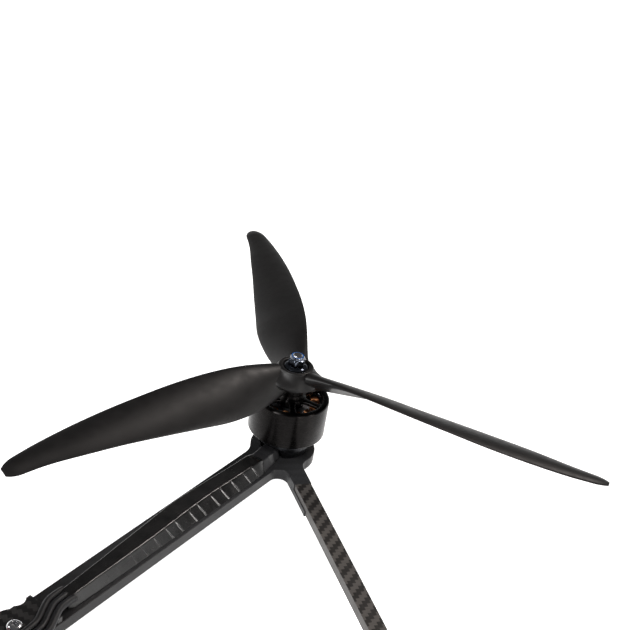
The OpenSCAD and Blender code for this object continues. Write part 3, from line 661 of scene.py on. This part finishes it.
def battery_shape():
    """Sleeved pack: the stacked cells show as soft ridges, and the sleeve folds in at both ends."""
    shape = Shape()
    half_w, half_l, half_h = (BATTERY_HIGH - BATTERY_LOW) / 2
    mid_z = (BATTERY_HIGH.z + BATTERY_LOW.z) / 2
    cell_h = 2 * half_h / CELLS
    straight = half_l - 4
    spans = [(-half_l + d, inset) for d, inset in SLEEVE_FOLD]
    spans += [(mix(-straight, straight, i / 24), 0) for i in range(25)]
    spans += [(half_l - d, inset) for d, inset in reversed(SLEEVE_FOLD)]
    rings = []
    for y, inset in spans:
        ring = []
        for a in circle(120):
            side = squared(cos(a), 0.16)
            z = (half_h - inset) * squared(sin(a), 0.16)
            on_side = abs(side) > 0.97
            seam = SEAM_DEPTH * (0.5 - 0.5 * cos(2 * pi * (z + half_h) / cell_h)) if on_side else 0
            ring.append(((half_w - inset - seam) * side, y, mid_z + z))
        rings.append(ring[::-1])
    shape.skin(rings)
    return shape


def strap_path():
    """Middle line of a strap: up through the top plate, round the pack and back under the plate."""
    off = 0.6
    half = (BATTERY_HIGH.x - BATTERY_LOW.x) / 2 + off
    low, high, plate = BATTERY_LOW.z - off, BATTERY_HIGH.z + off, TOP_PLATE_LOW - 0.7
    wide, tight = 5.6, 0.7
    left_side = [(STRAP_SLOT_X, plate, tight), (STRAP_SLOT_X, low, tight), (half, low, wide),
                 (half, high, wide)]
    corners = left_side + [(-x, z, r) for x, z, r in reversed(left_side)]
    return [point for i in range(len(corners)) for point in corner_curve(corners, i, 7)]


def strap_shape(y):
    """Woven strap with rounded edges, round the pack at a place along it."""
    shape = Shape()
    path = strap_path()
    longest_step = 3
    dense = []
    for i, here in enumerate(path):
        after = path[(i + 1) % len(path)]
        parts = max(1, round((after - here).length / longest_step))
        dense += [here.lerp(after, k / parts) for k in range(parts)]
    rings = []
    for i, here in enumerate(dense):
        ahead = (dense[(i + 1) % len(dense)] - dense[i - 1]).normalized()
        out = Vector((ahead.y, -ahead.x))
        ring = []
        for a in circle(28):
            across = STRAP_HALF_W * squared(cos(a), 0.3)
            thick = STRAP_HALF_T * squared(sin(a), 0.6)
            ring.append((here.x + out.x * thick, y + across, here.y + out.y * thick))
        rings.append(ring)
    shape.skin(rings, loop=True)
    return shape


# ---------- small parts ----------

BOTTOM_PLATE_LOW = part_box("bottom_plate")[0].z / MM
# Clamp bolts along each arm, from the middle of the airframe; the last one also holds the foot
CLAMP_STATIONS = (36, 68, 101)
FOOT_PLATE = 2.5
CLAMP_SOCKET = hexagon(2.5)
CLAMP_NUT_FLATS = 7


def clamp_screws_shape():
    """Round heads with hexagon sockets on the arm clamp bolts, and their shanks and lock nuts below."""
    shape = Shape()
    point = [(0.01, -4.5), (1.6, -4.5), (2, -4.1)]
    head = [(2, 0), (3.7, 0), (3.8, 0.15), (3.78, 0.45), (3.6, 0.95), (3.2, 1.5), (2.65, 1.95), (2.1, 2.17),
            (1.75, 2.2), (lambda a: CLAMP_SOCKET(a) + 0.12, 2.12), (CLAMP_SOCKET, 1.95), (CLAMP_SOCKET, 0.9),
            (0.6, 0.7)]
    flats = CLAMP_NUT_FLATS
    nut = [(2.05, 0), (worn_hexagon(flats, 3.6), 0), (hexagon(flats), -0.3), (hexagon(flats), -2.4),
           (worn_hexagon(flats, 3.3), -2.8), (3.1, -3.2), (3.0, -3.7), (2.6, -4), (2.05, -4)]
    for station in CLAMP_STATIONS:
        at = (station * cos(ARM_ANGLE), station * sin(ARM_ANGLE))
        has_foot = station == CLAMP_STATIONS[-1]
        nut_top = BOTTOM_PLATE_LOW - (FOOT_PLATE if has_foot else 0)
        bolt = [(r, nut_top + z) for r, z in point] + [(r, DECK_TOP + z) for r, z in head]
        shape.turned(bolt, at=at, sides=72)
        shape.turned(nut, at=at, level=nut_top, sides=72, loop=True)
    return shape


CAMERA_PIVOT_Y = -88
CAMERA_PIVOT_Z = DECK_TOP + 17.5
CAMERA_REST_TILT = radians(20)


def lens_shape():
    """Domed front glass of the nose camera, turned about the axis on which the camera looks ahead and up."""
    drawn = Shape()
    dome = [(4.3, 17.72), (4.2, 18), (3.6, 18.32), (2.8, 18.55), (1.6, 18.72), (0.02, 18.78)]
    drawn.turned(dome, sides=64)
    shape = Shape()
    for x, y, z in drawn.points:
        ahead = z * cos(CAMERA_REST_TILT) + y * sin(CAMERA_REST_TILT)
        up = z * sin(CAMERA_REST_TILT) - y * cos(CAMERA_REST_TILT)
        shape.points.append((x, CAMERA_PIVOT_Y - ahead, CAMERA_PIVOT_Z + up))
    shape.faces = drawn.faces
    return shape


# ---------- looks of each slot ----------

def propeller_look():
    """Satin black moulding."""
    return moulded("propeller plastic", (0.0034, 0.0031, 0.0031), 0.44, grain=0.35, depth=0.004,
                   Specular_IOR_Level=0.17)


def bell_look():
    """Black anodised shell: fine turning lines stretch each reflection into an upright band."""
    look = metal("bell metal", (0.011, 0.0102, 0.01), 0.28, (0.02, 0.02, 1), 0.25, 0.003, Anisotropic=0.9,
                 Anisotropic_Rotation=0.25)
    tangent = look.node("ShaderNodeTangent", direction_type="RADIAL", axis="Z")
    look.tree.links.new(tangent.outputs[0], look.shader.inputs["Tangent"])
    return look


def circuit_look(name, board_top):
    """Dark solder mask with gilt pads and a maze of fine lines, and plain parts above the board."""
    look = Look(name, (0.01, 0.014, 0.02), 0.32, Specular_IOR_Level=0.5, Coat_Weight=0.3, Coat_Roughness=0.2)
    above = look.math("GREATER_THAN", look.axis(2), board_top + 0.05)
    tracks = look.cells(1.6, "DISTANCE_TO_EDGE")
    pads = look.math("LESS_THAN", look.cells(2.6), 0.16)
    copper = look.math("MULTIPLY", pads, look.math("SUBTRACT", 1.0, above))
    tone = look.math("ADD", look.math("MULTIPLY", above, 0.3), look.math("MULTIPLY", copper, 0.6))
    board, part, pad = (0.008, 0.016, 0.024), (0.022, 0.022, 0.024), (0.45, 0.33, 0.14)
    look.colours(tone, [(0.0, board), (0.3, part), (0.6, pad)])
    look.relief(look.math("LESS_THAN", tracks, 0.09), 0.03)
    return look.relief(look.noise(0.4), 0.01)


def tape_look():
    """Black vinyl tape: soft creases, and a gloss that changes slowly along it."""
    look = Look("wire tape", (0.005, 0.005, 0.0052), 0.24, Specular_IOR_Level=0.4)
    look.shaded(look.noise(6, (1, 1, 1.5)), (0.0035, 0.0035, 0.0036), (0.007, 0.0067, 0.0067))
    look.rough(look.noise(4, detail=4), 0.18, 0.28)
    look.relief(look.noise(2.6, (1, 1, 0.4), ARM_ANGLE, detail=4), 0.02)
    return look.relief(look.noise(0.5), 0.006)


def strap_look():
    """Woven nylon: ribs that follow the strap, with painted shade that darkens each rib's groove and
    lightens its crest, and a fine crossed weave.
    """
    look = Look("strap fabric", (0.01, 0.01, 0.0105), 0.8, Sheen_Weight=0.06, Sheen_Roughness=0.4,
                Specular_IOR_Level=0.25)
    across = look.math("SINE", look.math("MULTIPLY", look.axis(1), 2 * pi / 1.1))
    around = look.math("MULTIPLY", look.math("SINE", look.math("MULTIPLY", look.axis(0), 2 * pi / 0.9)),
                       look.math("SINE", look.math("MULTIPLY", look.axis(2), 2 * pi / 0.9)))
    # Painted shade: the colour follows the rib relief, darker in each groove and lighter on each crest
    look.shaded(look.between(across, 0.0, 1.0, (-1, 1)), (0.006, 0.006, 0.0065), (0.018, 0.018, 0.019))
    look.relief(across, 0.12)
    return look.relief(look.math("ADD", around, look.noise(0.6)), 0.08)


def copper_look():
    """Enamelled copper wire."""
    look = Look("copper winding", (0.2, 0.085, 0.035), 0.32, Metallic=1.0, Coat_Weight=0.3,
                Coat_Roughness=0.2)
    look.shaded(look.noise(2.5), (0.13, 0.05, 0.02), (0.26, 0.12, 0.055))
    return look.relief(look.noise(0.4), 0.01)


def printed_look():
    """Flexible filament print with its layer lines."""
    look = moulded("printed plastic", (0.018, 0.018, 0.019), 0.55, 0.6, 0.02)
    return look.relief(look.math("SINE", look.math("MULTIPLY", look.axis(2), 2 * pi / 0.28)), 0.03)


def battery_look():
    """Shrink sleeve, taut in the middle and wrinkled towards both ends."""
    look = Look("battery sleeve", (0.01, 0.012, 0.018), 0.3, Specular_IOR_Level=0.35, Coat_Weight=0.1)
    end = look.between(look.math("ABSOLUTE", look.axis(1)), 0.1, 1.0, (52, 74))
    look.shaded(look.noise(14), (0.008, 0.0095, 0.015), (0.014, 0.017, 0.026))
    look.rough(look.noise(8), 0.24, 0.4)
    look.relief(look.math("MULTIPLY", look.noise(3.5, (1, 0.3, 1), detail=4), end), 0.5)
    return look.relief(look.noise(1.2), 0.02)


def laminated_look():
    """Stack of thin core sheets."""
    look = metal("core steel", (0.24, 0.24, 0.25), 0.38)
    return look.relief(look.math("SINE", look.math("MULTIPLY", look.axis(2), 2 * pi / 0.35)), 0.03)


def glass_look():
    """Coated front glass."""
    look = Look("lens glass", (0.01, 0.012, 0.03), 0.04, Specular_IOR_Level=0.9, Coat_Weight=1.0,
                Coat_Roughness=0.02)
    look.shaded(look.noise(3), (0.008, 0.008, 0.022), (0.02, 0.012, 0.04))
    return look.relief(look.noise(2), 0.001)


def arm_look(name, turn):
    """Satin laminate whose faint weave runs along an arm."""
    return woven(name, (0.013, 0.013, 0.0135), (0.02, 0.02, 0.021), 1.9, turn, contrast=0.35, depth=0.012,
                 coat=0.0, gloss=0.12)


STEEL = metal("steel screw", (0.72, 0.72, 0.74), 0.2)
NUT_STEEL = metal("nut steel", (0.085, 0.096, 0.12), 0.13, depth=0.004)
BLACK_STEEL = metal("black screw", (0.03, 0.03, 0.032), 0.36)
COPPER = copper_look()
PLATES = woven("carbon plate", (0.012, 0.012, 0.0125), (0.036, 0.0355, 0.036), 2.2, depth=0.02)
BRACES = woven("brace carbon", (0.009, 0.008, 0.0074), (0.044, 0.0395, 0.0365), 2.0, radians(90), 0.4,
               depth=0.02)
TAPE = tape_look()
SLEEVE = moulded("wire sleeve", (0.012, 0.012, 0.013), 0.4, grain=1.4, depth=0.03, Specular_IOR_Level=0.3)
SILICONE = moulded("wire silicone", (0.008, 0.008, 0.009), 0.5, grain=1.0, depth=0.01,
                   Specular_IOR_Level=0.25)
NYLON = moulded("nut insert nylon", (0.015, 0.065, 0.2), 0.4, grain=0.6, depth=0.01)
BELL = bell_look()
PROPELLER = propeller_look()
GLASS = glass_look()
STRAP = strap_look()
BATTERY = battery_look()

CARRIED = {
    "bottom_plate": PLATES, "deck_plate": PLATES, "top_plate": PLATES, "camera_side_plates": PLATES,
    "brace_left": BRACES, "brace_right": BRACES,
    "brace_screws": STEEL, "stack_bolts": STEEL, "camera_screws": STEEL,
    "frame_screws": BLACK_STEEL, "motor_screws": BLACK_STEEL,
    "standoffs": metal("standoff metal", (0.42, 0.035, 0.03), 0.3, (0.03, 0.03, 1), 0.3, 0.006),
    "landing_feet": moulded("foot rubber", (0.016, 0.016, 0.016), 0.72, 0.5, 0.03),
    "stack_spacers": moulded("spacer nylon", (0.55, 0.53, 0.47), 0.5, 0.6, 0.01),
    "speed_controller": circuit_look("speed controller board", DECK_TOP + 5.6),
    "flight_controller": circuit_look("flight controller board", DECK_TOP + 15.6),
    "radio_receiver": circuit_look("receiver board", DECK_TOP + 1.2),
    "capacitor": moulded("capacitor sleeve", (0.03, 0.05, 0.16), 0.3, 0.8, 0.01),
    "video_transmitter": metal("transmitter case", (0.04, 0.04, 0.043), 0.42, (0.2, 1, 1)),
    "gps_module": moulded("gps case", (0.03, 0.03, 0.032), 0.6, 0.4, 0.03),
    "tail_holder": printed_look(),
    "video_antenna": moulded("antenna plastic", (0.02, 0.02, 0.021), 0.48, 0.5, 0.015),
    "power_socket": moulded("socket plastic", (0.62, 0.4, 0.045), 0.45, 0.5, 0.012),
    "battery_pad": moulded("pad rubber", (0.022, 0.022, 0.022), 0.85, 0.8, 0.08),
    "strap_buckles": metal("buckle metal", (0.22, 0.225, 0.235), 0.4),
    "motor_bases": metal("motor casting", (0.03, 0.031, 0.034), 0.4, depth=0.01, grain=0.8),
    "stator_cores": laminated_look(),
    "bearings": metal("bearing steel", (0.5, 0.5, 0.52), 0.22),
    "camera_body": moulded("camera plastic", (0.02, 0.02, 0.021), 0.5, 0.4, 0.015),
    "camera_lens": moulded("lens barrel", (0.014, 0.015, 0.018), 0.3, 0.5, 0.01),
}
MAGNET = metal("magnet metal", (0.36, 0.36, 0.38), 0.3)
SHAFT = metal("shaft steel", (0.55, 0.55, 0.57), 0.2, (0.03, 0.03, 1), 0.3)


# ---------- assembly ----------

NODE_BEVEL = 0.22
ARM_BEVEL = 0.3
MAGNET_BEVEL = 0.1
SCREW_BEVEL = 0.12
SMALL_SCREWS = ("stack_bolts", "brace_screws", "camera_screws")
STRAP_PLACES = {"front": -30, "rear": 30}


def dress_nodes():
    """Materials and softened edges for the CAD nodes that stay in view."""
    for name, look in CARRIED.items():
        for_node(name, look, bevel=SCREW_BEVEL if name in SMALL_SCREWS else NODE_BEVEL)
    along = arm_look("arm plate along", ARM_ANGLE)
    across = arm_look("arm plate across", -ARM_ANGLE)
    for corner, (sx, sy) in CORNERS.items():
        for_node("arm_" + corner, along if sx * sy > 0 else across, bevel=ARM_BEVEL)
        for_node("magnets_" + corner, MAGNET, bevel=MAGNET_BEVEL)
        for_node("motor_shaft_" + corner, SHAFT, bevel=0)


def build_corner(corner, signs):
    """The turning half of a motor, its propeller and nut, and the wires along its arm."""
    rotor = "rotor_" + corner
    add_piece("propeller_moulding_" + corner, propeller_shape(), PROPELLER, rotor,
              signs, replaces=["propeller_" + corner])
    add_piece("bell_shell_" + corner, bell_shape(), BELL, rotor, signs, sharp=42,
              replaces=["motor_bell_" + corner])
    add_piece("lock_nut_" + corner, nut_shape(), NUT_STEEL, rotor, signs, sharp=30,
              replaces=["prop_nut_" + corner])
    add_piece("nut_insert_" + corner, nut_insert_shape(), NYLON, rotor, signs)
    wires = ["motor_wires_left" if signs[0] > 0 else "motor_wires_right"]
    add_piece("wire_tape_" + corner, tape_shape(), TAPE, "root", signs, sharp=60,
              replaces=wires)
    add_piece("wire_sleeve_" + corner, sleeve_shape(), SLEEVE, "root", signs, sharp=60)
    for k in range(3):
        add_piece(f"wire_lead_{corner}_{k + 1}", strand_shape(k), SILICONE, "root", signs)
    add_piece("coils_" + corner, windings_shape(), COPPER, "root", signs,
              replaces=["windings"])
    add_piece("clamp_bolts_" + corner, clamp_screws_shape(), STEEL, "root", signs, sharp=28,
              replaces=["arm_clamp_bolts"])


def build_centre():
    """Battery, straps and the nose camera's front glass."""
    add_piece("battery_sleeve", battery_shape(), BATTERY, "root", replaces=["battery"])
    for name, y in STRAP_PLACES.items():
        add_piece("battery_strap_" + name, strap_shape(y), STRAP, "root", sharp=60,
                  replaces=["battery_straps"])
    add_piece("lens_glass", lens_shape(), GLASS, "camera")


# ---------- floor, light and camera, in metres ----------

# Fitted to the photograph: place, and the directions of the picture's right and up sides
CAMERA_AT = (0.002455, -0.366755, 0.433446)
CAMERA_RIGHT = (0.934853, -0.321653, 0.150297)
CAMERA_UP = (0.037980, 0.511505, 0.858440)
CAMERA_LENS_MM = 77.97
CAMERA_FRAME_MM = 36
FLOOR_HALF = 40
# Sines of the heights above the horizon where the walls start to darken and where the ceiling starts
WALL_TOP = (0.12, 0.22)
WALL_LIGHT = 0.95
CEILING_LIGHT = 0.08
SUBJECT = Vector((0.17, 0.12, 0.05))
# Name, direction from the subject, distance, width, height, watts, tint
SOFTBOXES = [
    ("key", (-0.74, -0.3, 0.6), 1.7, 0.9, 0.9, 60, (1, 1, 1)),
    ("right", (0.75, -0.6, 0.3), 1.6, 0.35, 0.7, 18, (1, 0.97, 0.94)),
    ("left", (-0.85, 0.3, 0.42), 1.7, 0.5, 0.7, 12, (1, 1, 1)),
    ("back", (0.57, 0.24, 0.76), 1.5, 0.32, 0.24, 12, (1, 0.92, 0.87)),
    ("low", (0.28, -0.94, 0.17), 1.7, 0.6, 0.24, 7, (1, 0.98, 0.96)),
]


def add_camera():
    """Camera at the photograph's place and angle."""
    data = bpy.data.cameras.new("camera")
    data.lens = CAMERA_LENS_MM
    data.sensor_width = CAMERA_FRAME_MM
    data.clip_start = 0.01
    camera = bpy.data.objects.new("camera", data)
    bpy.context.scene.collection.objects.link(camera)
    right, up = Vector(CAMERA_RIGHT), Vector(CAMERA_UP)
    back = right.cross(up)
    rows = [[right[i], up[i], back[i], CAMERA_AT[i]] for i in range(3)]
    camera.matrix_world = Matrix(rows + [[0, 0, 0, 1]])
    bpy.context.scene.camera = camera


def add_floor():
    """White floor that is lit from inside, so it stays as pale as the photograph's background."""
    mesh = bpy.data.meshes.new("floor")
    corners = [(-1, -1), (1, -1), (1, 1), (-1, 1)]
    mesh.from_pydata([(x * FLOOR_HALF, y * FLOOR_HALF, 0) for x, y in corners], [], [(0, 1, 2, 3)])
    floor = bpy.data.objects.new("floor", mesh)
    bpy.context.scene.collection.objects.link(floor)
    look = Look("lit floor panel", (0.5, 0.5, 0.5), 0.9, Specular_IOR_Level=0.1,
                Emission_Color=(1, 1, 1, 1), Emission_Strength=0.88)
    look.shaded(look.noise(400), (0.495, 0.495, 0.495), (0.505, 0.505, 0.505))
    mesh.materials.append(look.material)


def add_softbox(name, at, aim, width, height, watts, tint):
    """Rectangular light that faces a point and doesn't show in the picture itself."""
    data = bpy.data.lights.new(name, "AREA")
    data.shape = "RECTANGLE"
    data.size = width
    data.size_y = height
    data.energy = watts
    data.color = tint
    light = bpy.data.objects.new(name, data)
    bpy.context.scene.collection.objects.link(light)
    light.visible_camera = False
    light.location = at
    light.rotation_euler = (Vector(aim) - Vector(at)).to_track_quat("-Z", "Y").to_euler()


def add_world():
    """Pale studio walls up to a little above the horizon, under a dark ceiling."""
    world = bpy.data.worlds.new("studio")
    world.use_nodes = True
    nodes, links = world.node_tree.nodes, world.node_tree.links
    direction = nodes.new("ShaderNodeTexCoord").outputs["Generated"]
    height = nodes.new("ShaderNodeSeparateXYZ")
    links.new(direction, height.inputs[0])
    ramp = nodes.new("ShaderNodeValToRGB")
    links.new(height.outputs["Z"], ramp.inputs[0])
    wall, ceiling = ramp.color_ramp.elements
    wall.position, ceiling.position = WALL_TOP
    wall.color = (WALL_LIGHT, WALL_LIGHT, WALL_LIGHT, 1)
    ceiling.color = (CEILING_LIGHT, CEILING_LIGHT, CEILING_LIGHT, 1)
    links.new(ramp.outputs[0], nodes["Background"].inputs["Color"])
    bpy.context.scene.world = world


def add_light():
    """Studio walls and soft lights round the photographed corner."""
    add_world()
    for name, direction, distance, width, height, watts, tint in SOFTBOXES:
        at = SUBJECT + Vector(direction).normalized() * distance
        add_softbox(name + " softbox", at, SUBJECT, width, height, watts, tint)
    bpy.context.scene.view_settings.view_transform = "Standard"


add_camera()
add_floor()
add_light()
dress_nodes()
for corner_name, corner_signs in CORNERS.items():
    build_corner(corner_name, corner_signs)
build_centre()
